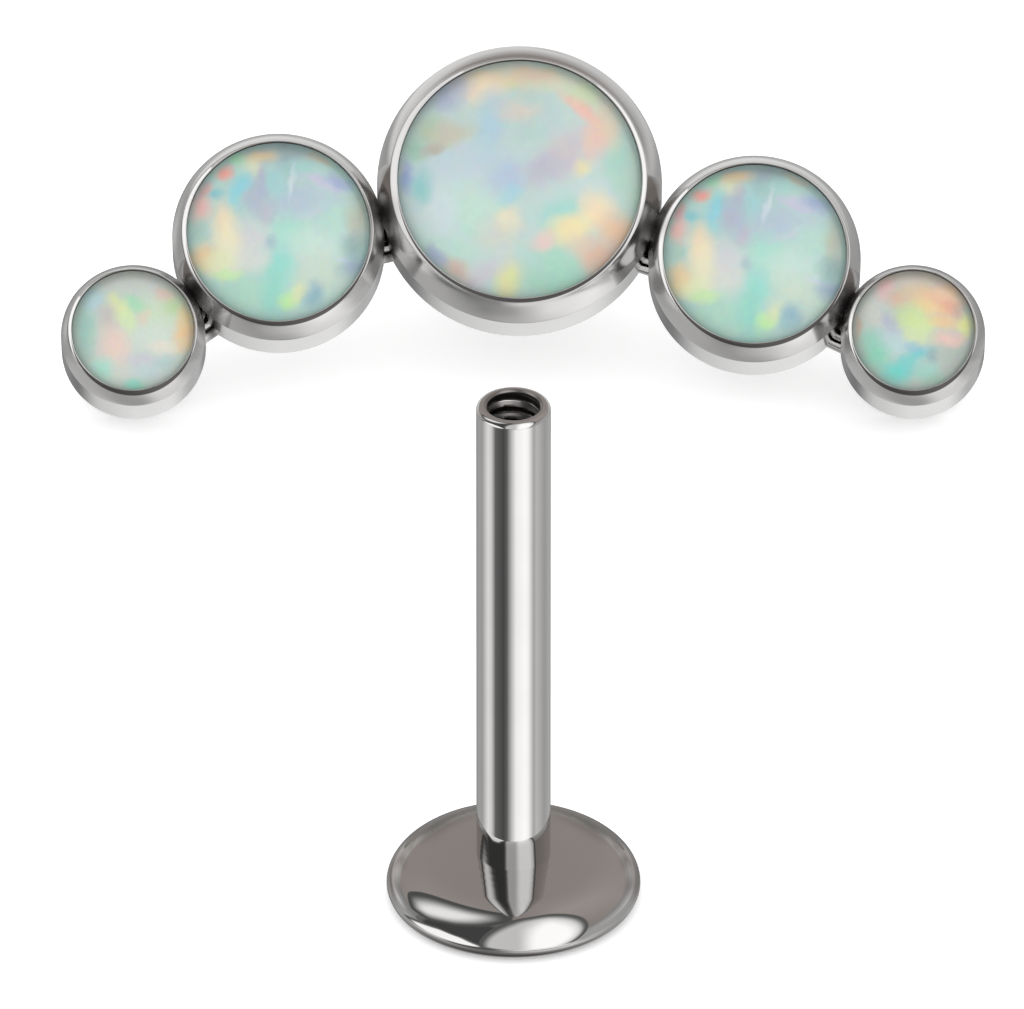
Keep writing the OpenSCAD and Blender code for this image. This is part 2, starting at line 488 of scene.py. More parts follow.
def lipReach(angle, height, change):
    # what the radius gains at a cup's bottom, top and right, where the lip is narrower, and what the
    # height gains on its left and right. Pushed over the stone by hand, the lip also wanders a little
    low, high = max(0, -math.sin(angle)) ** 2, max(0, math.sin(angle)) ** 2
    left, right = max(0, -math.cos(angle)) ** 2, max(0, math.cos(angle)) ** 2
    wander = math.sin(3 * angle + 0.7) + 0.7 * math.sin(7 * angle + 2.1) + 0.5 * math.sin(13 * angle)
    outward = change[0] * low + change[1] * high + change[2] * right + top["lipWander"] * wander
    return outward, change[3] * left + change[4] * right


def cupOutline(size):
    stone, outer, lip = cupSizes[size]["stone"], outerRadius(size), cupSizes[size]["lip"]
    height, seat = top["cupHeight"], stone + top["lipBite"]
    shoulder, crest = (outer, height - top["bevel"]), (stone + lip, height - top["crestDrop"])
    fall = -top["lipLean"] * lip
    change = (*(share * lip for share in top["lipChange"]), 0, fall)
    bevel = []  # bows outward a little between the shoulder and the crest
    bowOut, bowUp = top["bowSide"]
    for i in range(1, 8):
        t = i / 8
        r = shoulder[0] + (crest[0] - shoulder[0]) * t
        z = shoulder[1] + (crest[1] - shoulder[1]) * t
        bow = 4 * t * (1 - t) * top["bow"]
        bevel.append((r + bow * bowOut, z + bow * bowUp, 0, tuple(c * t for c in change)))
    fillet, (inward, down) = top["fillets"], top["lipInner"]
    corners = [(0, 0, 0), (outer * 0.5, 0, 0), (outer - top["edgeCut"], 0, fillet["back"]),
               (outer, top["edgeCut"], fillet["back"]), (*shoulder, fillet["shoulder"]), *bevel,
               (*crest, fillet["crest"], change),
               (stone + inward, height - down, fillet["lip"], (0, 0, 0, fall, 0)),
               (stone, height - top["lipThickness"], fillet["inside"]),
               (seat, height - top["seatDrop"], 0)]
    points = softCorners(corners, steps=6)
    points += [(seat, height - top["seatDrop"] - 0.02), (seat, top["floor"]), (stone * 0.5, top["floor"]),
               (0, top["floor"])]
    return points


def linkRod(left, right, drop):
    # a small soldered rod low in the joint of two neighbouring cups
    leftSize, x, y = places[left]
    rightSize, x2, y2 = places[right]
    step = Vector((x2 - x, y2 - y))

    def chord(size):
        return math.sqrt(outerRadius(size) ** 2 - drop ** 2)

    start = chord(leftSize) - top["linkBite"]
    stop = step.length - chord(rightSize) + top["linkBite"]
    r = top["linkRadius"]
    place = (lying @ Matrix.Translation((x, y, top["linkHeight"]))
             @ Matrix.Rotation(math.atan2(step.y, step.x), 4, "Z")
             @ Matrix.Translation((start, -drop, 0)) @ Matrix.Rotation(math.radians(90), 4, "Y"))
    outline = [(0, 0), (r, 0)] + [(r, (stop - start) * i / 6) for i in range(1, 6)]
    return lathe(outline + [(r, stop - start), (0, stop - start)], 40, place)


def pinRod():
    r, cut, length = top["pinRadius"], top["pinCut"], top["pinLength"]
    tipFillet, sideFillet = top["pinFillets"]
    corners = [(0, -length, 0), (r - cut, -length, tipFillet), (r, cut - length, sideFillet),
               (r, top["floor"] / 2, 0), (0, top["floor"] / 2, 0)]
    points = softCorners(corners)
    points[-2:-2] = [(r, -length + 0.4 + 0.5 * i) for i in range(6)]
    return lathe(points, 96, lying)


def cupPaintedShades():
    # discs of painted shade seen down the cups' axes: middle, radius, soft edge, whether it lies on the
    # front only, and a hollow cut from it
    shades = []
    seamRise, seamReach, seamSoft = top["seam"]
    fall, crescentReach, crescentSoft, hollow = top["crescent"]
    for size, x, y in places.values():
        stone = cupSizes[size]["stone"]
        shades.append(((x, y + seamRise), stone + seamReach, seamSoft, True, None))
        shades.append(((x, y - fall), stone + crescentReach, crescentSoft, True, ((x, y), stone + hollow)))
    for left, right, (drop, reach) in zip(order, order[1:], top["linkPaintedShades"]):
        (leftSize, x, y), (rightSize, x2, y2) = places[left], places[right]
        share = outerRadius(leftSize) / (outerRadius(leftSize) + outerRadius(rightSize))
        joint = Vector((x, y)).lerp((x2, y2), share)
        below = joint + Vector((y2 - y, x - x2)).normalized() * drop
        shades += [(tuple(joint), radius, soft, False, None) for radius, soft in top["jointPaintedShades"]]
        shades.append((tuple(below), reach, reach + 0.02, False, None))
    return shades


def settingPaintedShade(tree, place, color, roughness, normal):
    # lays the painted shade of the seams, crescents, joints and rods over the cups' metal, and makes it
    # duller there
    local = addNode(tree, "ShaderNodeMapping", {"vector_type": "TEXTURE"}, {
        "Location": Vector(lying.translation) * mm, "Rotation": lying.to_euler(), "Scale": (mm, mm, mm)},
        {"Vector": place})
    flat = addNode(tree, "ShaderNodeVectorMath", {"operation": "MULTIPLY"}, {1: (1, 1, 0)}, {0: local})
    height = addNode(tree, "ShaderNodeSeparateXYZ", links={0: local})
    start, over = top["front"]
    front = addNode(tree, "ShaderNodeMath", {"operation": "MULTIPLY_ADD"},
                    {1: 1 / over, 2: -start / over}, {0: height.outputs["Z"]})
    shades = []
    for middle, radius, soft, frontOnly, hollow in cupPaintedShades():
        sides = [(middle, radius, -1)] + ([(*hollow, 1)] if hollow else [])
        depths = [front] if frontOnly else []
        for centre, reach, sign in sides:
            away = addNode(tree, "ShaderNodeVectorMath", {"operation": "DISTANCE"}, {1: (*centre, 0)},
                           {0: flat})
            depths.append(addNode(tree, "ShaderNodeMath", {"operation": "MULTIPLY_ADD"},
                                  {1: sign / soft, 2: -sign * reach / soft}, {0: away.outputs["Value"]}))
        shades.append(chain(tree, "MINIMUM", depths))
    share = addNode(tree, "ShaderNodeMapRange", smooth,
                    {"To Max": top["shadeShare"]}, {"Value": chain(tree, "MAXIMUM", shades)})
    shaded = addNode(tree, "ShaderNodeMix", colorMix, {7: hexColor(titanium["paintedShadeColor"])},
                     {0: share, 6: color})
    softer = addNode(tree, "ShaderNodeMath", {"operation": "ADD"}, {1: top["softness"]}, {0: roughness})
    dull = addNode(tree, "ShaderNodeMath", {"operation": "MULTIPLY_ADD"}, {1: top["dullness"]},
                   {0: share, 2: softer})
    return shaded.outputs[2], dull, normal


def cupBody(name):
    size = places[name][0]
    return lathe(cupOutline(size), cupSizes[size]["segments"], cupPlace(name), lipReach)


setting = makeMesh("bezel_cups", [cupBody(n) for n in ("end_left", "center", "end_right")])
unite(setting, makeMesh("midCups", [cupBody(n) for n in ("mid_left", "mid_right")]))
for drop in (top["linkDrop"], top["solderDrop"]):
    unite(setting, makeMesh("rods", [linkRod(a, b, drop) for a, b in zip(order, order[1:])]))
unite(setting, makeMesh("pin", [pinRod()]))
setting.data.shade_smooth()
setting.data.set_sharp_from_angle(angle=math.radians(38))
finishPiece(setting, polishedTitanium("polishedTitaniumCups", settingPaintedShade),
            "bezel_setting")
print("setting made,", len(setting.data.polygons), "faces")


# The opals

opal = {
    "gap": 0.02,  # clearance in the cup, mm
    "domeShare": 0.1,  # rise of the dome, as a share of the stone's radius
    "roughness": 0.2,
    "refraction": 1.45,
    "cell": 0.2,  # width of its patches, as a share of the stone's radius
    "apart": 3.7,  # how far apart the stones lie in the pattern of cells, so that no two are alike
    "pull": 0.16,  # how far a patch gathers one colour
    "wander": 0.14,  # how far the edges of the patches stray
    "ripple": 1 / 4.5,  # width of what they stray by, as a share of the stone's radius
    "fade": (1.65, 0.15, 0.8),  # where a flash starts and is full, in its half widths, and how full
    "grain": 3,  # fine cells across one patch
    "mottling": 0.06,
    "darker": 0.86,  # of each colour, as the polish adds its own light
    "edge": (0.88, 1.03, 0.06),  # where the greyer edge starts and is full, and how full
    "edgeDrop": 0.025,  # the cup shades the top of the stone more than its bottom
    "edgeColor": "#A39C96",
    "spread": {"center": 1.06, "mid": 1.14, "end_left": 1.26, "end_right": 1.34},  # of the patches
    "base": {"center": "#BFD3CF", "mid": "#B4D3CC", "end_left": "#C6D2C8", "end_right": "#BBC7C0"},
}

# The flashes in each stone, from the first laid down to the last: place and half widths as shares of
# the stone's radius, turn in degrees. The two middle stones show the same pattern
flashColumns = ("x", "y", "width", "height", "turn", "color")
flashes = {
    "center": [
        (-.49, .07, .34, .24, 0, "#C2D2DC"), (-.61, -.23, .22, .24, 0, "#CCDCDD"),
        (-.39, -.27, .24, .22, 0, "#C0DFD0"), (-.56, -.56, .24, .22, 0, "#B9DACD"),
        (-.63, -.32, .12, .15, 0, "#CDDADF"),
        (-.16, -.48, .16, .14, 0, "#D0D0C6"), (.2, -.86, .34, .12, 0, "#9ECDB8"),
        (.33, -.7, .26, .18, -20, "#A0D3BE"), (.89, -.06, .12, .42, 5, "#AFCFC0"),
        (.28, .84, .26, .12, -10, "#D6DAC0"), (.53, .72, .12, .09, -30, "#CFDDB0"),
        (-.12, .84, .36, .1, 0, "#E3CFA6"), (-.31, .77, .17, .13, 0, "#F2DDC0"),
        (.1, .9, .16, .07, -10, "#DCC3AE"), (-.58, .73, .12, .17, -40, "#B0B5CD"),
        (-.74, .41, .12, .12, 0, "#B3C4A8"), (-.58, .37, .17, .09, 10, "#C8C3AF"),
        (-.86, .25, .09, .1, 0, "#9DC7B2"), (-.72, .25, .1, .05, 20, "#B6AFA2"),
        (-.81, -.07, .09, .14, 0, "#8AC7C6"), (-.93, .02, .05, .12, 0, "#97A5D2"),
        (-.24, .47, .11, .26, -5, "#ABCBDC"), (-.1, 0, .14, .16, 0, "#B0C1DA"),
        (-.09, -.16, .09, .09, 0, "#A6D2DA"), (.1, .5, .2, .26, 0, "#B4CDC9"),
        (-.02, .56, .17, .09, 0, "#D9CDBF"), (.4, .22, .24, .16, 40, "#CABDC3"),
        (.2, .06, .19, .11, 35, "#B9B6C8"), (.79, .17, .1, .2, 0, "#A2CEC2"),
        (.71, .46, .11, .2, 15, "#E1CBAE"), (.62, .34, .08, .17, 0, "#E6BFAF"),
        (.51, .6, .17, .055, -42, "#F2B8A7"), (.52, .09, .08, .08, 0, "#E6D9A8"),
        (.34, -.28, .2, .12, 15, "#9DD4CA"), (.49, -.56, .15, .1, -30, "#DCC9B2"),
        (.63, -.27, .12, .14, 0, "#F5D9B2"), (.43, -.41, .18, .1, 20, "#F3E0A4"),
        (.8, -.42, .15, .12, -30, "#ECBC92"), (.66, -.64, .12, .16, -40, "#DFB297"),
        (.19, -.52, .1, .07, 30, "#EBC4C0"), (-.09, -.35, .1, .09, 0, "#E7DEBD"),
        (-.33, -.81, .18, .1, 30, "#CAC6CD"), (-.09, -.87, .1, .16, 0, "#E1DE9B"),
        (-.52, -.76, .12, .07, -35, "#D1B3A1"), (-.68, -.64, .05, .1, 40, "#A6ACCB"),
    ],
    "mid": [
        (.02, .9, .4, .1, 0, "#A9BBBE"), (-.06, .44, .32, .24, 0, "#AFC0C8"),
        (.1, .03, .16, .2, 0, "#A6DDCB"),
        (.61, .17, .2, .14, 0, "#B2D7C8"), (.12, .8, .12, .15, 0, "#9DB1B8"),
        (-.17, .62, .05, .16, 8, "#B4B5C6"),
        (.37, -.17, .26, .16, 0, "#C4DED2"), (.46, -.47, .28, .2, 0, "#C8D6C4"),
        (-.35, -.67, .26, .2, 0, "#A9D4C0"), (.01, -.38, .15, .18, 0, "#92D9CC"),
        (-.06, -.7, .13, .24, 0, "#8FD3C2"), (-.33, -.1, .2, .22, 0, "#D6D1D4"),
        (-.34, -.32, .17, .15, 0, "#D5D7D0"), (.27, .34, .34, .16, 10, "#B3C2D2"),
        (-.24, .4, .1, .2, 10, "#B2B8CC"), (-.12, .18, .07, .1, 0, "#BDBBC9"),
        (-.02, .55, .11, .16, -10, "#A2D1D2"), (.25, .74, .15, .1, 0, "#A5D2CC"),
        (.47, .58, .18, .05, -15, "#C6C5D9"), (.66, .56, .13, .08, -20, "#A2AFD6"),
        (.14, .55, .028, .18, -14, "#CBD8E0"), (.45, .84, .14, .05, -25, "#CBC2B0"),
        (.5, .52, .2, .03, -22, "#C2C4D8"), (.36, .2, .16, .03, 24, "#BCCCD3"),
        (.7, -.3, .1, .02, -10, "#C4D0E0"),
        (-.31, .75, .11, .09, 20, "#E0E0BE"), (-.19, .86, .15, .06, 10, "#E0C89E"),
        (-.45, .81, .07, .07, 0, "#A8DFBB"), (-.43, .5, .085, .19, -20, "#8AD2DF"),
        (-.7, .43, .1, .06, 0, "#89C5CE"), (-.59, .67, .08, .06, 25, "#F79C90"),
        (-.84, .26, .09, .13, 0, "#F0B6AF"), (-.82, .48, .05, .1, -30, "#DCABAC"),
        (-.86, .03, .07, .1, 0, "#ABC8BC"), (-.6, .08, .1, .22, 0, "#F6D6B2"),
        (-.57, -.14, .13, .26, 0, "#ECE6C4"), (-.82, -.28, .12, .15, 0, "#F0CA96"),
        (-.66, -.38, .16, .12, 0, "#E3E5B8"),
        (-.55, -.49, .13, .06, 0, "#C5E8AB"), (.86, .13, .1, .22, 0, "#B9B9A8"),
        (.83, -.16, .12, .12, 0, "#8CABA8"), (.81, -.39, .13, .1, 20, "#93A7C0"),
        (-.09, -.14, .06, .06, 0, "#A5BEC5"), (.12, -.78, .1, .09, 15, "#BFEC9D"),
        (.22, -.68, .07, .1, -20, "#D9E0AE"), (.39, -.7, .1, .13, -15, "#88AFBF"),
    ],
    "end_left": [
        # the first wide pale patch is the stone's pale colour, made lighter as painted light where the cup
        # shades the top
        (.05, .9, .7, .13, 0, "#D2D5D0"), (.47, .3, .3, .24, 0, "#C6DABB"),
        (.33, -.1, .34, .18, 0, "#CCDACD"),
        (-.79, .05, .13, .4, 0, "#9CC9BF"), (-.63, .52, .15, .17, 0, "#B4D6DC"),
        (-.41, .25, .14, .18, 0, "#C6BFBD"), (-.3, -.27, .19, .28, 0, "#EBCABF"),
        (.01, .44, .16, .11, -35, "#A4DAB5"), (-.33, .54, .1, .1, 0, "#DADFB0"),
        (-.19, .33, .11, .15, 25, "#DCE9A8"), (-.07, .16, .1, .16, 10, "#D0E6B3"),
        (.18, .21, .08, .11, -20, "#DCCDB6"), (.52, .6, .14, .09, -20, "#DEBDB2"),
        (.66, .4, .13, .13, 0, "#B8D29E"), (.84, -.03, .13, .19, 0, "#EFC28A"),
        (.86, .24, .09, .15, 10, "#E3CA94"), (.8, -.24, .12, .1, 30, "#E4CFA2"),
        (.5, -.28, .2, .08, 0, "#E0D9CC"), (.18, -.5, .24, .09, 0, "#C7C4D1"),
        (.5, -.54, .18, .1, 20, "#AFCBC9"), (.26, -.7, .22, .1, 0, "#BED1D3"),
        (-.49, -.64, .17, .13, -30, "#AAE3D2"), (-.19, -.75, .14, .09, 0, "#CED4CC"),
        (.03, -.9, .14, .07, 0, "#8BE0C8"),
    ],
    "end_right": [
        # the first wide pale patch is the stone's pale colour, made lighter as painted light where the cup
        # shades the top
        (.04, .88, .6, .14, 0, "#DED3C6"), (.62, -.42, .26, .26, 0, "#ABB7AF"),
        (-.66, .33, .2, .26, 0, "#CFD2CB"), (-.4, -.1, .2, .14, 0, "#BDCFD6"),
        (-.27, -.27, .18, .12, 0, "#B9D5D6"), (-.4, .13, .08, .14, 25, "#B6BACC"),
        (-.47, .72, .1, .15, -20, "#EBBFBE"), (-.26, .52, .12, .12, 0, "#DCBAA2"),
        (.17, .6, .26, .14, -10, "#EAC69B"), (.48, .53, .2, .14, -20, "#F0BE9E"),
        (.6, .64, .16, .13, -40, "#F0CFAE"), (.56, .36, .16, .13, -20, "#E4A88E"),
        (.22, .38, .22, .1, -15, "#EDCF95"), (.45, .13, .27, .08, -5, "#EBC38E"),
        (-.07, .22, .18, .16, 0, "#CBE09B"), (.12, .03, .18, .18, -40, "#D1E49F"),
        (.01, -.1, .12, .1, 0, "#D0DFB0"), (.85, .08, .09, .15, 0, "#E0E68E"),
        (.72, .33, .06, .1, 0, "#CDAD9B"), (.58, -.15, .19, .1, 0, "#EABFB4"),
        (-.9, .06, .05, .16, 0, "#CCB7A5"), (-.7, -.15, .13, .15, 0, "#9AD2C0"),
        (-.6, -.42, .17, .16, -30, "#8AD7BC"), (.03, -.31, .16, .07, 0, "#97C1D2"),
        (.08, -.42, .18, .08, 15, "#74C9CB"), (.31, -.42, .07, .09, 0, "#92ACB0"),
        (-.13, -.6, .18, .13, 15, "#72CECC"), (-.3, -.72, .18, .13, -20, "#68D5C8"),
        (.22, -.68, .15, .11, 20, "#98D1C3"), (.33, -.82, .15, .07, 20, "#A0C6B4"),
    ],
}


def stoneOutline(size):
    stone = cupSizes[size]["stone"]
    girdle = stone + top["lipBite"] - opal["gap"]
    girdleZ = top["cupHeight"] - top["seatDrop"] - opal["gap"]
    rise = opal["domeShare"] * stone + top["seatDrop"] / 2
    domeRadius = (girdle ** 2 + rise ** 2) / (2 * rise)
    half = math.degrees(math.asin(girdle / domeRadius))
    foot = top["floor"] + opal["gap"]
    points = [(0, foot), (girdle * 0.5, foot), (girdle - 0.02, foot), (girdle, foot + 0.02),
              (girdle, girdleZ - 0.03)]
    points += arc((0, girdleZ + rise - domeRadius), domeRadius, 90 - half, 90, 28)
    points[-1] = (0, points[-1][1])
    return points


def makeStone(name, material):
    size = places[name][0]
    part = lathe(stoneOutline(size), cupSizes[size]["segments"], cupPlace(name))
    piece = makeMesh("stone_" + name, [part])
    spread = 2 * (cupSizes[size]["stone"] + top["lipBite"])  # the flat place on the stone, as a UV
    layer = piece.data.uv_layers.new(name="face")
    vertices = np.zeros(len(piece.data.loops), int)
    piece.data.loops.foreach_get("vertex_index", vertices)
    layer.data.foreach_set("uv", (part[2][vertices] / spread + 0.5).astype(np.float32).ravel())
    piece.data.set_sharp_from_angle(angle=math.radians(40))
    finishPiece(piece, material, "opal_" + name)


def opalColor(code):
    return (*(opal["darker"] * c for c in hexColor(code)[:3]), 1)


def whiteOpal(name):
    # Polished white opal: milky, with soft-edged pastel patches of colour that gather into cells, and
    # a greyer edge where the cup shades the stone
    pattern = "mid" if name.startswith("mid") else name
    stone, wider = cupSizes[places[name][0]]["stone"], opal["spread"][pattern]
    material, output = newMaterial("whiteOpal_" + name)
    tree = material.node_tree
    face = addNode(tree, "ShaderNodeUVMap", {"uv_map": "face"})
    spread = 2 * (1 + top["lipBite"] / stone)
    depth = order.index(name) * opal["apart"]
    place = addNode(tree, "ShaderNodeMapping", values={
        "Location": (-spread / 2, -spread / 2, depth), "Scale": (spread, spread, 0)},
        links={"Vector": face})
    cells = addNode(tree, "ShaderNodeTexVoronoi", {"feature": "SMOOTH_F1"},
                    {"Scale": 1 / opal["cell"], "Smoothness": 1.0}, {"Vector": place})
    ripples = addNode(tree, "ShaderNodeTexNoise", values={"Scale": 1 / opal["ripple"], "Detail": 3.0},
                      links={"Vector": place})
    gathered = addNode(tree, "ShaderNodeMix", {"data_type": "VECTOR"}, {0: opal["pull"]},
                       {4: place, 5: cells.outputs["Position"]})
    wander = opal["wander"]
    strayed = addNode(tree, "ShaderNodeVectorMath", {"operation": "MULTIPLY_ADD"}, {1: (wander,) * 3},
                      {0: ripples.outputs["Color"], 2: gathered.outputs[1]})
    flat = addNode(tree, "ShaderNodeVectorMath", {"operation": "MULTIPLY_ADD"},
                   {1: (1, 1, 0), 2: (-wander / 2, -wander / 2, 0)}, {0: strayed})
    color = addNode(tree, "ShaderNodeRGB")
    color.outputs[0].default_value = opalColor(opal["base"][pattern])
    start, full, most = opal["fade"]
    for row in flashes[pattern]:
        flash = dict(zip(flashColumns, row))
        local = addNode(tree, "ShaderNodeMapping", {"vector_type": "TEXTURE"}, {
            "Location": (flash["x"], flash["y"], 0), "Rotation": (0, 0, math.radians(flash["turn"])),
            "Scale": (wider * flash["width"], wider * flash["height"], 1)}, {"Vector": flat})
        away = addNode(tree, "ShaderNodeVectorMath", {"operation": "LENGTH"}, links={0: local})
        share = addNode(tree, "ShaderNodeMapRange", smooth,
                        {"From Min": start, "From Max": full, "To Max": most},
                        {"Value": away.outputs["Value"]})
        mix = addNode(tree, "ShaderNodeMix", colorMix, {7: opalColor(flash["color"])}, {0: share, 6: color})
        color = mix.outputs[2]
    grain = addNode(tree, "ShaderNodeTexVoronoi", {"feature": "SMOOTH_F1"},
                    {"Scale": opal["grain"] / opal["cell"], "Smoothness": 0.6}, {"Vector": place})
    mottled = addNode(tree, "ShaderNodeMix", {"data_type": "RGBA", "blend_type": "SOFT_LIGHT"},
                      {0: opal["mottling"]}, {6: color, 7: grain.outputs["Color"]})
    lowered = addNode(tree, "ShaderNodeVectorMath", {"operation": "MULTIPLY_ADD"},
                      {1: (1, 1, 0), 2: (0, opal["edgeDrop"], 0)}, {0: place})
    away = addNode(tree, "ShaderNodeVectorMath", {"operation": "LENGTH"}, links={0: lowered})
    start, full, most = opal["edge"]
    edge = addNode(tree, "ShaderNodeMapRange", smooth,
                   {"From Min": start, "From Max": full, "To Max": most}, {"Value": away.outputs["Value"]})
    shaded = addNode(tree, "ShaderNodeMix", {"data_type": "RGBA", "blend_type": "MULTIPLY"},
                     {7: hexColor(opal["edgeColor"])}, {0: edge, 6: mottled.outputs[2]})
    shader = addNode(tree, "ShaderNodeBsdfPrincipled",
                     values={"Roughness": opal["roughness"], "IOR": opal["refraction"]},
                     links={"Base Color": shaded.outputs[2]})
    tree.links.new(shader.outputs[0], output.inputs["Surface"])
    return material


for name in places:
    makeStone(name, whiteOpal(name))
print("opals made")


# Pale floor, light and camera

board = {
    "reach": 3.0,  # m from the middle to each side
    "color": "#FAFAFA",
    "roughness": 0.9,
    "specular": 0.1,
    "glow": 0.31,
}


def makeFloor():
    # a pale board lit from within, so that only the closest shadows show on it
    mesh = bpy.data.meshes.new("floor")
    reach = board["reach"]
    mesh.from_pydata([(-reach, -reach, 0), (reach, -reach, 0), (reach, reach, 0), (-reach, reach, 0)],
                     [], [(0, 1, 2, 3)])
    floor = bpy.data.objects.new("floor", mesh)
    scene.collection.objects.link(floor)
    material, output = newMaterial("litBoard")
    shader = addNode(material.node_tree, "ShaderNodeBsdfPrincipled", values={
        "Base Color": hexColor(board["color"]), "Roughness": board["roughness"],
        "Specular IOR Level": board["specular"], "Emission Color": (1, 1, 1, 1),
        "Emission Strength": board["glow"]})
    material.node_tree.links.new(shader.outputs[0], output.inputs["Surface"])
    mesh.materials.append(material)
    floor.visible_glossy = False


# What the polished metal mirrors all round it, in degrees: height above the horizon, and direction, 0 to
# the front and 90 to the right. First the room: for each height, pairs of direction and grey level. The
# post mirrors one row of it, which is laid at two heights so that its stripes run straight
postRow = [
    (-180, 100), (-134, 150), (-112, 152), (-85, 219), (-72, 200), (-58, 95), (-31, 69), (-20, 92),
    (-3, 197), (8, 238), (35, 252), (46, 244), (65, 163), (77, 182), (110, 150), (142, 158), (180, 100),
]
roomRows = {
    -85: [(-180, 150), (180, 150)],
    -66: [(-180, 200), (-90, 158), (-40, 150), (0, 178), (60, 215), (120, 205), (180, 200)],
    -52: [(-180, 205), (-160, 178), (-120, 165), (-70, 165), (-30, 130), (-4, 150), (24, 225), (60, 235),
          (110, 200), (150, 205), (180, 205)],
    -41: [(-180, 120), (-162, 95), (-140, 165), (-105, 165), (-60, 165), (-40, 120), (-14, 130), (0, 215),
          (60, 240), (100, 170), (150, 170), (180, 120)],
    -37.5: [(-180, 130), (-162, 100), (-140, 160), (-110, 155), (-70, 165), (-52, 85), (44, 85), (60, 190),
            (100, 170), (150, 170), (180, 130)],
    -34: postRow,
    -31: postRow,
    -24: [(-180, 100), (-158, 130), (-142, 175), (-130, 140), (-110, 150), (-100, 190), (-66, 180),
          (-40, 90), (-18, 90), (20, 190), (60, 150), (75, 155), (130, 145), (180, 100)],
    -9: [(-180, 150), (-165, 160), (-140, 140), (-118, 150), (-100, 150), (-60, 110), (-20, 90), (20, 150),
         (70, 155), (120, 150), (180, 150)],
    -2: [(-180, 205), (-140, 205), (-118, 190), (-104, 140), (-60, 110), (-20, 90), (20, 150), (70, 155),
         (140, 185), (180, 205)],
    9: [(-180, 200), (-146, 196), (-128, 150), (-110, 130), (-60, 100), (20, 120), (80, 150), (130, 145),
        (146, 178), (180, 200)],
    14: [(-180, 174), (-146, 172), (-124, 126), (-90, 118), (0, 110), (90, 130), (130, 130), (150, 160),
         (180, 174)],
    20: [(-180, 128), (-120, 134), (-90, 118), (0, 110), (90, 132), (120, 140), (180, 128)],
    62: [(-180, 127), (-130, 140), (-90, 130), (90, 140), (130, 145), (180, 127)],
    89: [(-180, 126), (180, 126)],
}
room = {
    "tint": "#827C79",  # the brownish room behind, above the horizon
    "neutral": "#7E7E7E",  # the grey that the tint turns warm
    "warmFrom": 13,  # the height where it starts, and over how many degrees
    "warmOver": 7,
    "mirrored": 0.56,  # how much of what it mirrors the metal gives back
    "softboxesFrom": (-30, -27),  # nothing of the softboxes below the first height, all above the second
    "roundCorners": 0.08,
    "softLight": 1.2,  # the even light that falls on what isn't a mirror
}

# Then the flags and softboxes in it, from the first to the last: the corners of each, its level, and the
# level and width of its dark frame. The big softbox stands to the right of the camera, a high one and a
# low one to its left, and a black flag between them
boxColumns = ("level", "frameLevel", "frame", "softness", "corners")
softboxes = {
    "flag": (62, 100, 4, 5, [(-112, 4), (-108, 24), (-80, 60), (-40, 84), (10, 80), (10, -20), (-14, -28),
                            (-32, -24)]),
    "high": (228, 74, 3, 17, [(-101, 17), (-119, 28), (-134, 54), (-160, 79), (-49, 84), (-48, 66),
                             (-62, 47), (-82, 24)]),
    "low": (246, 90, 3, 5, [(-106, -24), (-88, -7), (-66, 10), (-44, 6), (-27, -18), (-28, -26)]),
    "big": (190, 84, 2.2, 7, [(-27, -27), (17, -36), (50, -36), (62, -2), (72, 31), (90, 57), (118, 74),
                              (81, 88), (-24, 68)]),
    "bigCore": (254, 190, 0, 18, [(2, -36), (50, -38), (62, -4), (72, 28), (92, 56), (112, 71), (81, 84),
                                  (2, 66)]),
}


def lightOf(level, warm=0.0):
    # the light that makes the metal show a grey level, warm where the room behind stands
    light = hexColor("#%02X%02X%02X" % ((level,) * 3))[0] / room["mirrored"]
    tint = [c / hexColor(room["neutral"])[0] for c in hexColor(room["tint"])[:3]]
    return (*(light * (1 + warm * (t - 1)) for t in tint), 1)


def toward(direction, height):
    a, b = math.radians(direction), math.radians(height)
    return Vector((math.sin(a) * math.cos(b), -math.cos(a) * math.cos(b), math.sin(b)))


def addSoftbox(tree, place, above, color, box):
    # lays one box with its frame over the colour so far, where above is one. Each edge is a plane through
    # the middle, and the depth inside the box is the smooth least of the heights above its edges
    corners = [toward(*corner) for corner in box["corners"]]
    middle = sum(corners, Vector())
    edges = []
    for first, second in zip(corners, corners[1:] + corners[:1]):
        edge = first.cross(second).normalized()
        edge *= 1 if edge.dot(middle) > 0 else -1
        within = addNode(tree, "ShaderNodeVectorMath", {"operation": "DOT_PRODUCT"}, {1: edge}, {0: place})
        edges.append(within.outputs["Value"])
    depth = chain(tree, "SMOOTH_MIN", edges, {2: room["roundCorners"]})
    frame, softness = (math.sin(math.radians(box[k])) for k in ("frame", "softness"))
    for level, start, stop in ((box["frameLevel"], -1.5 * frame, -frame),
                               (box["level"], -0.2 * frame, 0.2 * frame + softness)):
        inside = addNode(tree, "ShaderNodeMapRange", smooth, {"From Min": start, "From Max": stop},
                         {"Value": depth})
        share = chain(tree, "MULTIPLY", [inside, above])
        mix = addNode(tree, "ShaderNodeMix", colorMix, {7: lightOf(level)}, {0: share, 6: color})
        color = mix.outputs[2]
    return color


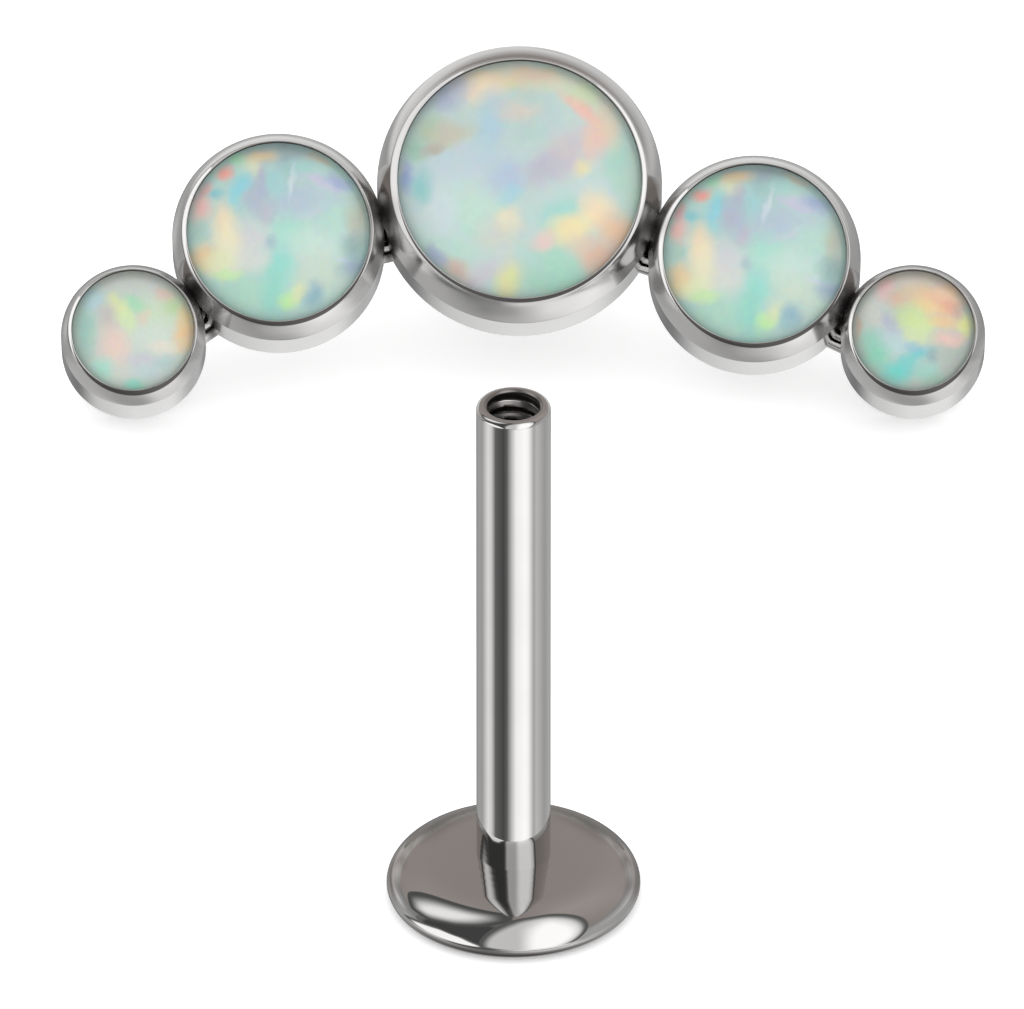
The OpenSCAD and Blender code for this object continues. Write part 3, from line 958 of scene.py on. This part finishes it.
def makeWorld():
    world = bpy.data.worlds.new("studio")
    scene.world = world
    world.use_nodes = True
    tree = world.node_tree
    tree.nodes.clear()
    output = addNode(tree, "ShaderNodeOutputWorld")
    place = addNode(tree, "ShaderNodeTexCoord")
    parts = addNode(tree, "ShaderNodeSeparateXYZ", links={0: place.outputs["Generated"]})
    forward = addNode(tree, "ShaderNodeMath", {"operation": "MULTIPLY"}, {1: -1.0}, {0: parts.outputs["Y"]})
    turn = chain(tree, "ARCTAN2", [parts.outputs["X"], forward])
    share = addNode(tree, "ShaderNodeMapRange", values={"From Min": -math.pi, "From Max": math.pi},
                    links={"Value": turn})
    rise = addNode(tree, "ShaderNodeMath", {"operation": "ARCSINE"}, links={0: parts.outputs["Z"]})
    color, lastHeight = None, None
    for height, stops in roomRows.items():
        warm = min(1, max(0, (height - room["warmFrom"]) / room["warmOver"]))
        ramp = addNode(tree, "ShaderNodeValToRGB", links={0: share})
        elements = ramp.color_ramp.elements
        while len(elements) < len(stops):
            elements.new(1.0)
        for element, (direction, level) in zip(elements, stops):
            element.position = (direction + 180) / 360
            element.color = lightOf(level, warm)
        if color is None:
            color = ramp
        else:
            blend = addNode(tree, "ShaderNodeMapRange", smooth,
                            {"From Min": math.radians(lastHeight), "From Max": math.radians(height)},
                            {"Value": rise})
            mix = addNode(tree, "ShaderNodeMix", colorMix, links={0: blend, 6: color, 7: ramp})
            color = mix.outputs[2]
        lastHeight = height
    start, full = (math.radians(height) for height in room["softboxesFrom"])
    above = addNode(tree, "ShaderNodeMapRange", smooth, {"From Min": start, "From Max": full},
                    {"Value": rise})
    for row in softboxes.values():
        color = addSoftbox(tree, place.outputs["Generated"], above, color, dict(zip(boxColumns, row)))
    mirrored = addNode(tree, "ShaderNodeBackground", links={"Color": color})
    soft = addNode(tree, "ShaderNodeBackground",
                   values={"Color": (1, 1, 1, 1), "Strength": room["softLight"]})
    kind = addNode(tree, "ShaderNodeLightPath")
    both = addNode(tree, "ShaderNodeMixShader",
                   links={0: kind.outputs["Is Glossy Ray"], 1: soft, 2: mirrored})
    tree.links.new(both.outputs[0], output.inputs["Surface"])


camera = {
    "elevation": 32.63,  # degrees above the surface
    "lens": 1300,
    "sensor": 36,
    "width": 16.706,  # mm that the picture's width shows
    "aim": (-0.024, 8.5, 2.023),  # mm
}


def makeCamera():
    data = bpy.data.cameras.new("camera")
    data.lens = camera["lens"]
    data.sensor_width = camera["sensor"]
    distance = camera["width"] * camera["lens"] / data.sensor_width
    rise = math.radians(camera["elevation"])
    back = Vector((0, -math.cos(rise), math.sin(rise)))
    shot = bpy.data.objects.new("camera", data)
    scene.collection.objects.link(shot)
    shot.location = (Vector(camera["aim"]) + back * distance) * mm
    shot.rotation_mode = "QUATERNION"
    shot.rotation_quaternion = (-back).to_track_quat("-Z", "Y")
    data.clip_start, data.clip_end = 0.01, 5
    scene.camera = shot


makeFloor()
makeWorld()
makeCamera()
scene.view_settings.view_transform = "Standard"
print("stage, light and camera made")
